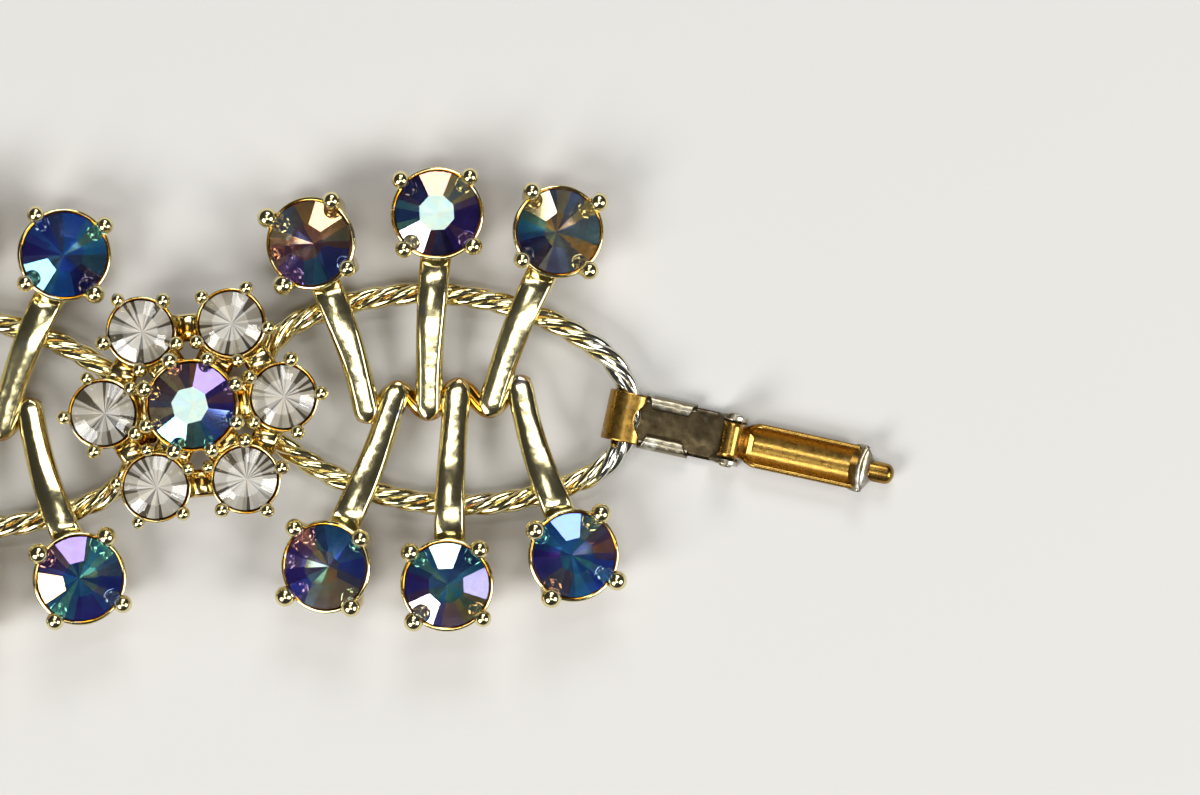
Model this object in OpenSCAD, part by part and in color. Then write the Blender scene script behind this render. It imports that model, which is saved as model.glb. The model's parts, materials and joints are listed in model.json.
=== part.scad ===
// Rhinestone link bracelet: five flower-and-oval links with a fold-over clasp and a catch loop.
// It lies flat with its stones up. +X runs along the bracelet towards the clasp, +Z is up.

/* [Links] */
// Distance from one link to the next
pitch = 35.4; // [34.5:0.1:44]
// Height of the rope wire's centre above the table
wire_z = 1.65; // [1.65:0.05:2.2]
// Diameter of the rope wire
wire_d = 1.7; // [1.2:0.05:1.8]
// Half the length of the rope oval, to the wire's centre
oval_a = 13.5; // [12.8:0.1:14.2]
// Half the width of the rope oval, to the wire's centre
oval_b = 7.57; // [7:0.05:9]
// Turn of the oval in its link, seen from above
oval_skew = -8; // [-10:1:-4]

/* [Large stones] */
// Girdle diameter of a large stone
stone_d = 6.05; // [4.8:0.05:6.3]
// Distance of the middle stones from the bracelet's centre line
mid_y = 13.3; // [12.8:0.1:16]
// Distance of the corner stones from the centre line
corner_y = 11.6; // [11:0.1:14]
// Distance of the corner stones from the link's middle
corner_x = 8.9; // [8.4:0.1:9.6]
// Outward lean of the corner stones
corner_tilt = 13; // [0:1:15]
// Height of a large cup's rim
cup_h = 4; // [3.6:0.1:5]
// Diameter of a bead on a large prong
bead_d = 1.6; // [1.2:0.05:1.65]

/* [Flower] */
// Girdle diameter of a petal crystal
crystal_d = 4.5; // [3.7:0.05:4.6]
// Distance of the petals from the flower's centre
petal_r = 6.44; // [6.3:0.02:7.4]
// Diameter of a bead on a petal prong
petal_bead_d = 1; // [0.8:0.05:1.05]
// Underside of the flower
flower_z = 3.1; // [3.1:0.1:3.6]
// Depth of a petal's cup
petal_h = 1.9; // [1.6:0.1:2.4]

/* [Arms] */
// Width of an arm
arm_w = 1.95; // [1.6:0.05:2.2]
// Thickness of an arm
arm_t = 1.5; // [1.4:0.05:1.7]
// Diameter of the serpentine rod along the middle
wave_d = 1.3; // [1:0.05:1.6]

/* [Hinges and clasp] */
// Wall of a link's hook
hook_wall = 0.6; // [0.5:0.05:0.6]
// Gap around the wire in a hook
hook_gap = 0.17; // [0.15:0.01:0.2]
// Width of a link's hook
hook_w = 2.2; // [1.6:0.1:2.4]
// Width of the clasp
clasp_w = 3.6; // [3:0.1:4]
// Thickness of the clasp's sheet metal
sheet_t = 0.35; // [0.3:0.05:0.4]
// Distance from the clasp's loop to its pivot
pivot_u = 7.6; // [7.2:0.1:9]
// Diameter of the clasp's pivot pin
pin_d = 0.7; // [0.6:0.05:0.8]
// Wire diameter of the catch loop
catch_d = 1.1; // [0.9:0.05:1.2]
// Inner length of the catch loop
catch_len = 9; // [8:0.1:12]
// Inner width of the catch loop
catch_w = 3.9; // [3.7:0.05:3.95]

/* [Hidden] */
LINKS = [1, 2, 3, 4, 5];
STONES = ["top_left", "top_middle", "top_right", "bottom_left", "bottom_middle", "bottom_right"];
$fn = 48;
fit = 0.05;      // gap between a stone and its cup
bury = 0.2;      // how far joined shapes reach into each other
solder = 0.2;    // how much wider than the wire the solder collars are where its arcs meet

// Four arcs make the rope oval: two small ones at the tips and two large ones along the sides.
tip_r = 0.4 * oval_a;
tip_cx = oval_a - tip_r;
side_r = (tip_cx * tip_cx + oval_b * oval_b - tip_r * tip_r) / (2 * (oval_b - tip_r));
side_cy = side_r - oval_b;
tip_half = atan2(side_cy, tip_cx);

// The tip's outermost point, where the next link's hook goes round the wire
tip_x = tip_cx * cos(oval_skew) + tip_r;
tip_y = tip_cx * sin(oval_skew);
hook_sag = tip_r - sqrt(tip_r * tip_r - hook_w * hook_w / 4);
hook_bore = wire_d / 2 + hook_gap;
hook_r = hook_bore + hook_wall;
hinge_dx = tip_x - hook_sag / 2;

flower_x = -pitch / 2;
flower_y = 0.4;

// Stone shape, from its culet up
crown_h = 0.3 * stone_d / 2;
cup_wall = 0.3;
cup_r = stone_d / 2 + fit + cup_wall;
foot_r = cup_r - 0.5;
large_depth = 1.3;             // how far each stone's point reaches into its cup
centre_depth = 1.15;
small_depth = 1.1;
prong_r = 3.55 - 3.025 + stone_d / 2;
bead_up = 0.75;
petal_cup_r = crystal_d / 2 + fit + 0.25;
petal_prong_r = petal_cup_r + 0.2;
petal_top = flower_z + petal_h;
centre_top = petal_top + 1.1;
centre_cup_r = stone_d / 2 + fit + 0.25;
centre_prong_r = stone_d / 2 + 0.45;
flower_turn = 2.7;

clasp_yaw = -15;
clasp_gap = 0.42;              // room between the wire and the clasp's loop
clasp_bore = wire_d / 2 + clasp_gap;
// The clasp's loop hangs a little along the tip's arc from where the wire points its way.
loop_slip = 0.55;
loop_in = 0.2;
clasp_x = tip_x - tip_r + (tip_r - loop_in) * cos(clasp_yaw) - loop_slip * sin(clasp_yaw);
clasp_y = tip_y + (tip_r - loop_in) * sin(clasp_yaw) + loop_slip * cos(clasp_yaw);
cover_start = 1.3;             // from the pivot to the cover's channel
cover_end = pivot_u + 2.2;     // from the pivot to the end wall's outer face, which clears the loop
nub_len = 2.4;
nub_r = 0.7;
pivot_z = 2.4;

// The catch loop's wire curves in its hook as the rope does.
catch_r = (catch_w + catch_d) / 2;
catch_sag = catch_r - sqrt(catch_r * catch_r - hook_w * hook_w / 4);
catch_dx = hinge_dx - pitch + catch_sag / 2;

// The frame's origin is below the middle of the whole length, so both ends set the first link's place.
right_end = 4 * pitch + clasp_x + (pivot_u + cover_end + nub_len - nub_r) * cos(clasp_yaw) + nub_r;
left_end = catch_dx - catch_len - 1.5 * catch_d;
first_x = -(right_end + left_end) / 2;
function link_x(k) = first_x + (k - 1) * pitch;

// Middle of each large stone in its link, and which way it leans
function stone_at(s) = s == 0 ? [-corner_x, corner_y] : s == 1 ? [0.28, mid_y]
    : s == 2 ? [corner_x, corner_y] : -stone_at(5 - s);
function stone_lean(s) = (s == 1 || s == 4) ? 0 : (s == 0 || s == 3) ? -corner_tilt : corner_tilt;
function stone_turn(s) = (s == 0 || s == 5) ? 11 : (s == 2 || s == 3) ? -11 : 0;
// Where each arm ends on the serpentine rod
arm_step = 4.4;
arm_first = -5.5;
function arm_foot(s) = s < 3 ? [arm_first + s * arm_step, -0.9] : -arm_foot(5 - s);

gold = [0.86, 0.72, 0.36];

// A faceted chaton with its girdle at z = 0, point down
module chaton(d, depth, crown) {
    table = 0.54 * d / 2;
    union() {
        translate([0, 0, -depth]) cylinder(r1 = 0.3, r2 = d / 2 - 0.02, h = depth - 0.1);
        translate([0, 0, -0.1]) cylinder(r = d / 2, h = 0.2);
        translate([0, 0, 0.1]) cylinder(r1 = d / 2 - 0.02, r2 = table, h = crown);
    }
}

// A cup with its posts and beads, still solid. The rim is at z = 0 and the cup goes down by h.
module cup(r, h, posts, first, post_r, ball_r, post_circle, up) {
    translate([0, 0, -h]) cylinder(r = r, h = h);
    for (i = [0 : posts - 1]) rotate(first + i * 360 / posts) translate([post_circle, 0, 0]) {
        translate([0, 0, -h + bury]) cylinder(r = post_r, h = h - bury + up);
        translate([0, 0, up]) sphere(r = ball_r);
    }
}
// The pocket that a stone's point drops into
module pocket(d, depth) {
    translate([0, 0, -depth]) cylinder(r = d / 2 + fit, h = depth + 0.25);
}

module place_stone(s) {
    p = stone_at(s);
    translate([p.x, p.y, cup_h]) rotate([0, stone_lean(s), 0]) rotate(stone_turn(s)) children();
}

module rope_oval() {
    rotate(oval_skew) translate([0, 0, wire_z]) for (i = [0, 180]) rotate(i) {
        translate([tip_cx, 0, 0]) rotate(-tip_half) rotate_extrude(angle = 2 * tip_half)
            translate([tip_r, 0]) circle(d = wire_d);
        translate([0, -side_cy, 0]) rotate(tip_half) rotate_extrude(angle = 180 - 2 * tip_half)
            translate([side_r, 0]) circle(d = wire_d);
        for (m = [-1, 1]) translate([tip_cx, 0, 0]) rotate(m * tip_half) translate([tip_r, 0, 0])
            rotate([90, 0, 0]) cylinder(d = wire_d + solder, h = wire_d / 2, center = true);
    }
}

// An arm runs from its cup over the rope and down to the rod: a side profile cut to its width.
module arm(s) {
    p = stone_at(s);
    f = arm_foot(s);
    run = norm(p - f);
    top = wire_z + wire_d / 2 + 1.1;
    cross = run * (abs(p.y) - oval_b) / abs(p.y - f.y);
    steps = 8;
    function crest(t) = top - 0.5 * t * t;
    function fall(t) = top + (wire_z + 0.6 - top) * (3 * t * t - 2 * t * t * t);
    upper = concat([for (i = [0 : 2]) [cross * i / 2, crest(1 - i / 2)]],
        [for (i = [1 : steps]) [cross + (run - cross) * i / steps, fall(i / steps)]]);
    lower = [for (i = [len(upper) - 1 : -1 : 0]) [upper[i].x, max(upper[i].y - arm_t, 0.5)]];
    translate([p.x, p.y, 0]) rotate(atan2(f.y - p.y, f.x - p.x)) rotate([90, 0, 0])
        translate([0, 0, -arm_w / 2]) linear_extrude(arm_w) translate([0.9, 0]) polygon(concat(upper, lower));
}

// The serpentine rod joins the feet of the arms.
module wave() {
    x_end = 0.4 - arm_first;
    n = 40;
    amp = 0.75;
    function wx(i) = -x_end + 2 * x_end * i / n;
    function wy(i) = -amp * cos((wx(i) - arm_first) * 360 / arm_step);
    mid = [for (i = [0 : n]) [wx(i), wy(i)]];
    edge = [for (side = [1, -1]) [for (i = [0 : n]) mid[i] + side * [0, wave_d / 2]]];
    translate([0, 0, wire_z - wave_d / 2]) linear_extrude(wave_d + 0.1)
        polygon(concat(edge[0], [for (i = [n : -1 : 0]) edge[1][i]]));
}

module link_frame(k) {
    color(gold) translate([link_x(k), 0, 0]) difference() {
        union() {
            rope_oval();
            wave();
            for (s = [0 : 5]) {
                p = stone_at(s);
                arm(s);
                translate([p.x, p.y, 0]) cylinder(r = foot_r - 0.4, h = 1.5);
                place_stone(s) translate([0, 0, -cup_h + 1.1]) cylinder(r = foot_r, h = 1);
                place_stone(s) cup(cup_r, cup_h - 1.8, 4, 45, 0.5, bead_d / 2, prong_r, bead_up);
            }
        }
        for (s = [0 : 5]) place_stone(s) pocket(stone_d, large_depth);
    }
}

module place_petal(i) {
    rotate(i * 60 + flower_turn) translate([petal_r, 0, petal_top]) children();
}

module link_flower(k) {
    color(gold) translate([link_x(k) + flower_x, flower_y, 0]) difference() {
        union() {
            translate([0, 0, flower_z]) cylinder(r = petal_r, h = 0.7);
            translate([0, 0, centre_top]) cup(centre_cup_r, centre_top - flower_z - 0.3, 8, 22.5, 0.35,
                0.55, centre_prong_r, 0.55);
            for (i = [0 : 5]) place_petal(i)
                cup(petal_cup_r, petal_h, 5, 0, 0.3, petal_bead_d / 2, petal_prong_r, 0.5);
            hook_block();
            solder_post();
        }
        hook_bore();
        translate([0, 0, centre_top]) pocket(stone_d, centre_depth);
        for (i = [0 : 5]) place_petal(i) pocket(crystal_d, small_depth);
    }
}

// The hook hangs under the flower and goes round the last link's tip.
hook_at = [-pitch + hinge_dx - flower_x, tip_y - flower_y, wire_z];
module hook_block() {
    translate(hook_at) rotate([90, 0, 0]) translate([0, 0, -hook_w / 2]) cylinder(r = hook_r, h = hook_w);
    translate(hook_at + [-0.2, -hook_w / 2, 0]) cube([hook_r + 0.2, hook_w, flower_z - wire_z + bury]);
}
// A post stands on the flower's own oval, at its near tip, and is soldered there.
module solder_post() {
    post_x = 1.2;
    foot_z = wire_z + wire_d / 2 - bury;
    translate([-tip_x - flower_x - post_x / 2, -tip_y - flower_y - hook_w / 2, foot_z])
        cube([post_x, hook_w, flower_z - foot_z + bury]);
}
module hook_bore() {
    translate(hook_at) rotate([90, 0, 0]) translate([0, 0, -hook_w]) cylinder(r = hook_bore, h = 2 * hook_w);
}

module stone(k, s) {
    tones = [[0.45, 0.6, 0.85], [0.5, 0.75, 0.85], [0.7, 0.6, 0.5]];
    color(tones[s % 3]) translate([link_x(k), 0, 0]) place_stone(s)
        chaton(stone_d, large_depth, crown_h);
}
module stone_centre(k) {
    color([0.5, 0.7, 0.8]) translate([link_x(k) + flower_x, flower_y, centre_top])
        chaton(stone_d, centre_depth, crown_h);
}
module crystals(k) {
    color([0.85, 0.85, 0.88]) translate([link_x(k) + flower_x, flower_y, 0])
        for (i = [0 : 5]) place_petal(i) chaton(crystal_d, small_depth, 0.2 * crystal_d);
}

module clasp_place() {
    translate([link_x(5) + clasp_x, clasp_y, 0]) rotate(clasp_yaw) children();
}
tab_h = 1.25;
plate_z = wire_z - clasp_bore - sheet_t;
lug_gap = clasp_w - 2 * sheet_t;
module clasp_base() {
    color([0.72, 0.55, 0.3]) clasp_place() difference() {
        union() {
            translate([0, 0, wire_z]) rotate([90, 0, 0]) translate([0, 0, -clasp_w / 2])
                cylinder(r = clasp_bore + sheet_t, h = clasp_w);
            translate([0, -clasp_w / 2, plate_z]) cube([pivot_u + 0.9, clasp_w, sheet_t]);
            for (m = [0, 1]) mirror([0, m, 0]) {
                translate([1.9, lug_gap / 2, plate_z]) cube([3, sheet_t, tab_h]);
                translate([pivot_u - 0.9, lug_gap / 2, plate_z]) cube([1.8, sheet_t, pivot_z - plate_z]);
                translate([pivot_u, lug_gap / 2, pivot_z]) rotate([-90, 0, 0]) cylinder(r = 0.9, h = sheet_t);
            }
        }
        translate([0, 0, wire_z]) rotate([90, 0, 0]) translate([0, 0, -clasp_w])
            cylinder(r = clasp_bore, h = 2 * clasp_w);
        translate([pivot_u, 0, pivot_z]) rotate([90, 0, 0]) translate([0, 0, -clasp_w])
            cylinder(d = pin_d, h = 2 * clasp_w);
    }
}
module clasp_pin() {
    color([0.75, 0.72, 0.66]) clasp_place() translate([pivot_u, clasp_w / 2, pivot_z]) rotate([90, 0, 0])
        cylinder(d = pin_d, h = clasp_w);
}
// The cover lies open, its channel facing up. It turns over the base about the pin.
cover_w = clasp_w - 0.2;
cover_h = 1.3;
cover_z = 0.1;
neck_w = lug_gap - 0.3;
module clasp_cover() {
    knuckle_r = pin_d / 2 + 0.03 + sheet_t;
    color([0.85, 0.6, 0.25]) clasp_place() translate([pivot_u, 0, 0]) difference() {
        union() {
            translate([0, neck_w / 2, pivot_z]) rotate([90, 0, 0]) cylinder(r = knuckle_r, h = neck_w);
            translate([knuckle_r - sheet_t - 0.02, -neck_w / 2, cover_z + 0.3])
                cube([sheet_t, neck_w, pivot_z - cover_z - 0.3]);
            translate([knuckle_r - sheet_t - 0.02, -neck_w / 2, cover_z + 0.3]) cube([1, neck_w, sheet_t]);
            translate([cover_start, 0, cover_z + cover_w / 2]) rotate([0, 90, 0])
                cylinder(d = cover_w, h = cover_end - cover_start);
            translate([cover_end - sheet_t, -cover_w / 2, cover_z + 0.9]) cube([sheet_t, cover_w, 1.2]);
            translate([cover_end - bury, 0, cover_z + nub_r + 0.2]) rotate([0, 90, 0])
                cylinder(r = nub_r, h = nub_len - nub_r + bury);
            translate([cover_end + nub_len - nub_r, 0, cover_z + nub_r + 0.2]) sphere(r = nub_r);
        }
        translate([0, neck_w, pivot_z]) rotate([90, 0, 0]) cylinder(r = pin_d / 2 + 0.03, h = 2 * neck_w);
        translate([cover_start - 0.1, 0, cover_z + cover_w / 2]) rotate([0, 90, 0])
            cylinder(d = cover_w - 2 * sheet_t, h = cover_end - cover_start + 0.1 - sheet_t);
        translate([cover_start - 0.1, -cover_w, cover_z + cover_h])
            cube([cover_end - cover_start + 0.1 - sheet_t, 2 * cover_w, cover_w]);
    }
}

// An oval loop of plain wire in the first link's hook: the clasp's cover passes through it.
module catch_loop() {
    far = catch_len + catch_d - 2 * catch_r;
    color(gold) translate([link_x(1) + catch_dx - catch_r, tip_y, wire_z]) {
        rotate(-90) rotate_extrude(angle = 180) translate([catch_r, 0]) circle(d = catch_d);
        translate([-far, 0, 0]) rotate(90) rotate_extrude(angle = 180)
            translate([catch_r, 0]) circle(d = catch_d);
        for (y = [-catch_r, catch_r]) translate([-far, y, 0]) rotate([0, 90, 0])
            cylinder(d = catch_d, h = far);
    }
}

for (k = LINKS) {
    link_frame(k);
    link_flower(k);
    for (s = [0 : 5]) stone(k, s);
    stone_centre(k);
    crystals(k);
}
clasp_base();
clasp_cover();
clasp_pin();
catch_loop();
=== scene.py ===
# %% [markdown]
# A gold-plated link bracelet set with rhinestones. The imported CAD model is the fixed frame: it says where
# each link, stone, hinge and clasp part lies. Everything seen is built here around it, in metres.
# Lengths below are written in millimetres and multiplied by MM, because that is how a jeweller thinks.

# %% Load the frame
import bpy
import json
import math
import random
import numpy as np
from mathutils import Matrix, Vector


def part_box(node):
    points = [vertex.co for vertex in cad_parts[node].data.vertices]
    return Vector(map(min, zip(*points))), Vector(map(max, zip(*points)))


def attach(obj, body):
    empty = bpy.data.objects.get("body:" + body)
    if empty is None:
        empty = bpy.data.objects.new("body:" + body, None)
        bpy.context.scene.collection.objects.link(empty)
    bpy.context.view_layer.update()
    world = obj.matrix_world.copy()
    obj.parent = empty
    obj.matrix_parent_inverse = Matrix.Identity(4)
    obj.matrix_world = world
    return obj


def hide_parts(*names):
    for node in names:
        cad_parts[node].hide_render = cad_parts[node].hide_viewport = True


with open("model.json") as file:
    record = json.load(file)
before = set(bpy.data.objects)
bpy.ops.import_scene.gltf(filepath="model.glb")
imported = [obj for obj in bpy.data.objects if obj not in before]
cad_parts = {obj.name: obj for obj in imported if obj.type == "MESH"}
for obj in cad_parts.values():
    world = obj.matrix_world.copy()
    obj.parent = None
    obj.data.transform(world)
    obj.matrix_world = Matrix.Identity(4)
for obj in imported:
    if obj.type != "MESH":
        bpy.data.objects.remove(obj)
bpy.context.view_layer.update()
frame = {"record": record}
MM = 0.001
TAU = 2 * math.pi
LINKS = [1, 2, 3, 4, 5]
SPOTS = ["top_left", "top_middle", "top_right", "bottom_left", "bottom_middle", "bottom_right"]


def middle(node):
    """The middle of a CAD node's box, in millimetres."""
    low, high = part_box(node)
    return [(a + b) / 2 / MM for a, b in zip(low, high)]


LINK_X = {k: middle(f"link_{k}_frame")[0] for k in LINKS}
HINGES = {j["name"]: j for j in frame["record"]["behaviour"]["joints"]}
print("links at", {k: round(x, 2) for k, x in LINK_X.items()})

# %% [markdown]
# The sizes of the casting. The rope oval is drawn with four arcs, as a draughtsman draws an ellipse: two
# small arcs at the tips and two large ones along the sides. It sits turned by a few degrees in its link.

# %% Sizes in millimetres
WIRE_Z = HINGES["hinge_1_2"]["pos_m"][2] / MM
WIRE_D = 1.7
OVAL_A, OVAL_B, OVAL_SKEW = 13.5, 7.57, math.radians(-8)
TIP_R = 0.4 * OVAL_A
TIP_CX = OVAL_A - TIP_R
SIDE_R = (TIP_CX ** 2 + OVAL_B ** 2 - TIP_R ** 2) / (2 * (OVAL_B - TIP_R))
TIP_HALF = math.atan2(SIDE_R - OVAL_B, TIP_CX)
STONE_R = 3.025
CRYSTAL_R = 2.25
CUP_H = 4.0
LEAN = math.radians(13)
PITCH = LINK_X[2] - LINK_X[1]
FLOWER = np.array([-PITCH / 2, 0.4])
PETAL_R, PETAL_TURN, PETAL_TOP, FLOWER_Z = 6.44, math.radians(2.7), 5.0, 3.1
CENTRE_TOP = 6.1
STONE_AT = {"top_left": (-8.9, 11.6), "top_middle": (0.28, 13.3), "top_right": (8.9, 11.6)}
FOOT_AT = {"top_left": (-5.5, -0.9), "top_middle": (-1.1, -0.9), "top_right": (3.3, -0.9)}
TWINS = {"bottom_right": "top_left", "bottom_middle": "top_middle", "bottom_left": "top_right"}
for spot, twin in TWINS.items():
    STONE_AT[spot] = tuple(-c for c in STONE_AT[twin])
    FOOT_AT[spot] = tuple(-c for c in FOOT_AT[twin])
LEAN_OF = {s: (-LEAN if "left" in s else LEAN if "right" in s else 0.0) for s in SPOTS}
CORNER_TURNS = {"top_left": 11, "bottom_right": 11, "top_right": -11, "bottom_left": -11}
TURN_OF = {s: math.radians(CORNER_TURNS.get(s, 0)) for s in SPOTS}

# %% [markdown]
# A few helpers. `Shape` gathers points and faces in millimetres, so that a cup, an arm or a bead can be
# added again and again and becomes one mesh at the end. Each point also carries a `tone`, a number that
# the materials read: on metal it says how deep in a recess the point lies, and the gold is painted a
# darker amber there as shade; on a stone it says which facet it is.

# %% Mesh helpers
class Shape:
    def __init__(self):
        self.points, self.faces, self.tones, self.slots, self.smooth = [], [], [], [], []

    def add(self, points, faces, tone=0.0, slot=0, smooth=True, move=None):
        base = len(self.points)
        points = np.asarray(points, float)
        if move is not None:
            points = points @ move[:3, :3].T + move[:3, 3]
        self.points.extend(points.tolist())
        for i, face in enumerate(faces):
            self.faces.append([base + v for v in face])
            self.tones.append(tone[i] if isinstance(tone, (list, np.ndarray)) else tone)
            self.slots.append(slot[i] if isinstance(slot, list) else slot)
            self.smooth.append(smooth)
        return self

    def piece(self, name, body, materials, replaced=(), slot=None, shift=(0, 0, 0)):
        mesh = bpy.data.meshes.new(name)
        points = (np.array(self.points) + np.array(shift)) * MM
        mesh.from_pydata(points.tolist(), [], self.faces)
        tones = mesh.attributes.new("tone", "FLOAT", "FACE")
        tones.data.foreach_set("value", np.array(self.tones, np.float32))
        mesh.polygons.foreach_set("use_smooth", np.array(self.smooth, bool))
        for material in materials:
            mesh.materials.append(material)
        mesh.polygons.foreach_set("material_index", np.array(self.slots, np.int32))
        mesh.update()
        obj = bpy.data.objects.new(name, mesh)
        bpy.context.scene.collection.objects.link(obj)
        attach(obj, body)
        if replaced:
            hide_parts(*replaced)
        return obj


def placed(x=0.0, y=0.0, z=0.0, turn=0.0, lean=0.0, tip=0.0):
    """A 4x4 matrix: turn about Z, then tip about X, lean about Y, and move."""
    ct, st, cl, sl, cp, sp = (f(a) for a in (turn, lean, tip) for f in (math.cos, math.sin))
    spin = np.array([[ct, -st, 0], [st, ct, 0], [0, 0, 1]])
    lean_m = np.array([[cl, 0, sl], [0, 1, 0], [-sl, 0, cl]])
    tip_m = np.array([[1, 0, 0], [0, cp, -sp], [0, sp, cp]])
    m = np.eye(4)
    m[:3, :3] = lean_m @ tip_m @ spin
    m[:3, 3] = (x, y, z)
    return m


def lathe(profile, sides=48):
    """A closed solid turned about Z from (radius, height) pairs, the first and the last on the axis."""
    points = [(0, 0, profile[0][1])]
    for r, z in profile[1:-1]:
        points += [(r * math.cos(TAU * i / sides), r * math.sin(TAU * i / sides), z) for i in range(sides)]
    points.append((0, 0, profile[-1][1]))
    faces = [[0, 1 + (i + 1) % sides, 1 + i] for i in range(sides)]
    rings = len(profile) - 2
    for k in range(rings - 1):
        a, b = 1 + k * sides, 1 + (k + 1) * sides
        faces += [[a + i, a + (i + 1) % sides, b + (i + 1) % sides, b + i] for i in range(sides)]
    last, top = 1 + (rings - 1) * sides, len(points) - 1
    faces += [[last + i, last + (i + 1) % sides, top] for i in range(sides)]
    return points, faces


def sweep(path, outline_at, up=(0, 0, 1), closed=False):
    """Points and faces of an outline carried along a path. outline_at(t) gives (side, height) pairs."""
    path = np.asarray(path, float)
    n = len(path)
    points, up = [], np.asarray(up, float)
    for i in range(n):
        ahead = path[(i + 1) % n if closed else min(i + 1, n - 1)]
        behind = path[(i - 1) % n if closed else max(i - 1, 0)]
        along = ahead - behind
        along /= np.linalg.norm(along)
        side = np.cross(up, along)
        side /= np.linalg.norm(side)
        rise = np.cross(along, side)
        for a, b in outline_at(i / (n - 1)):
            points.append(path[i] + side * a + rise * b)
    m = len(points) // n
    faces = []
    for i in range(n if closed else n - 1):
        a, b = i * m, (i + 1) % n * m
        faces += [[a + j, a + (j + 1) % m, b + (j + 1) % m, b + j] for j in range(m)]
    if not closed:
        faces.append(list(range(m - 1, -1, -1)))
        faces.append([(n - 1) * m + j for j in range(m)])
    return points, faces


def ring_outline(r, sides=12):
    return [(r * math.cos(TAU * i / sides), r * math.sin(TAU * i / sides)) for i in range(sides)]


def smooth_step(t):
    t = min(max(t, 0.0), 1.0)
    return t * t * (3 - 2 * t)

# %% [markdown]
# Materials start from what the real thing is. Colours are sRGB hex values, turned linear by one function,
# and one small function adds a shader node with its settings and links.

# %% Material helpers
def linear(hex_colour):
    parts = [int(hex_colour[i:i + 2], 16) / 255 for i in (1, 3, 5)]
    return tuple(c / 12.92 if c <= 0.04045 else ((c + 0.055) / 1.055) ** 2.4 for c in parts) + (1.0,)


def add(tree, kind, links=(), **settings):
    """One node: inputs by name in links as (socket, source) pairs, everything else as settings."""
    node = tree.nodes.new(kind)
    for key, value in settings.items():
        if key.startswith("in_"):
            name = key[3:]
            socket = node.inputs[int(name)] if name.isdigit() else node.inputs[name.replace("_", " ")]
            socket.default_value = value
        else:
            setattr(node, key, value)
    for socket, source in links:
        tree.links.new(source, node.inputs[socket])
    return node


def new_material(name):
    material = bpy.data.materials.new(name)
    material.use_nodes = True
    tree = material.node_tree
    tree.nodes.clear()
    surface = add(tree, "ShaderNodeBsdfPrincipled")
    add(tree, "ShaderNodeOutputMaterial", [("Surface", surface.outputs[0])])
    return material, tree, surface


def ramp(tree, source, stops):
    node = add(tree, "ShaderNodeValToRGB", [("Fac", source)])
    while len(node.color_ramp.elements) < len(stops):
        node.color_ramp.elements.new(0.5)
    for element, (at, colour) in zip(node.color_ramp.elements, stops):
        element.position = at
        element.color = linear(colour) if isinstance(colour, str) else (colour,) * 3 + (1.0,)
    return node.outputs["Color"]

# %% [markdown]
# Gold plate on a cast white-metal base. A bright nickel flash under thin gold makes it pale. The gold is
# painted a darker amber in random patches and, as painted shade, in recesses, and rubbing brings the
# silver through on the high spots. The surface is cast, not milled, so it has a soft ripple about a
# millimetre long and fine pits.

# %% Metal finishes
def plated(name, bright, deep, worn, wear, roughness, ripple):
    material, tree, surface = new_material(name)
    place = add(tree, "ShaderNodeTexCoord").outputs["Object"]
    tone = add(tree, "ShaderNodeAttribute", attribute_name="tone").outputs["Fac"]
    rubbed = add(tree, "ShaderNodeAttribute", attribute_name="rubbed").outputs["Fac"]
    patch = add(tree, "ShaderNodeTexNoise", [("Vector", place)], in_Scale=1 / (1.6 * MM), in_Detail=4.0)
    fine = add(tree, "ShaderNodeTexNoise", [("Vector", place)], in_Scale=1 / (0.35 * MM), in_Detail=3.0)
    lump = add(tree, "ShaderNodeTexNoise", [("Vector", place)], in_Scale=1 / (0.9 * MM), in_Detail=1.0)
    # patch noise plus tone: random patches, and painted shade in recesses, pull the colour towards the deep
    # amber
    depth = add(tree, "ShaderNodeMath", [(0, patch.outputs["Fac"]), (1, tone)], operation="ADD")
    colour = ramp(tree, depth.outputs[0], [(0.42, bright), (0.75, bright), (1.0, deep)])
    loss = add(tree, "ShaderNodeMath", [(0, patch.outputs["Fac"]), (1, rubbed)], operation="ADD")
    loss = ramp(tree, loss.outputs[0], [(wear, 0.0), (wear + 0.12, 1.0)])
    mixed = add(tree, "ShaderNodeMix", [(0, loss), (6, colour)], data_type="RGBA")
    mixed.inputs[7].default_value = linear(worn)
    tree.links.new(mixed.outputs[2], surface.inputs["Base Color"])
    surface.inputs["Metallic"].default_value = 1.0
    spread = add(tree, "ShaderNodeMapRange", [("Value", fine.outputs["Fac"])],
                 in_3=roughness * 0.7, in_4=roughness * 1.5)
    tree.links.new(spread.outputs["Result"], surface.inputs["Roughness"])
    height = add(tree, "ShaderNodeMath", [(0, fine.outputs["Fac"]), (2, lump.outputs["Fac"])],
                 operation="MULTIPLY_ADD", in_1=0.1)
    bump = add(tree, "ShaderNodeBump", [("Height", height.outputs[0])],
               in_Strength=ripple, in_Distance=0.1 * MM)
    tree.links.new(bump.outputs["Normal"], surface.inputs["Normal"])
    return material


GOLD = plated("Gold_Plated_Casting", "#E4D7A2", "#B9821E", "#DDDACD", 0.62, 0.12, 0.2)
CLASP_GOLD = plated("Gold_Lacquered_Strip", "#A8843F", "#6C4A1C", "#D9BC82", 0.62, 0.26, 0.28)
# The clasp's plate is coloured dark olive-black, far darker than the other gold.
DARK_OLIVE_PLATE = plated("Dark_Olive_Plated_Strip", "#4E4430", "#30261A", "#6A6250", 0.62, 0.3, 0.5)
BARE_METAL = plated("Rubbed_White_Metal", "#968D78", "#4A4234", "#C6C2B6", 0.52, 0.3, 0.9)
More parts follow.
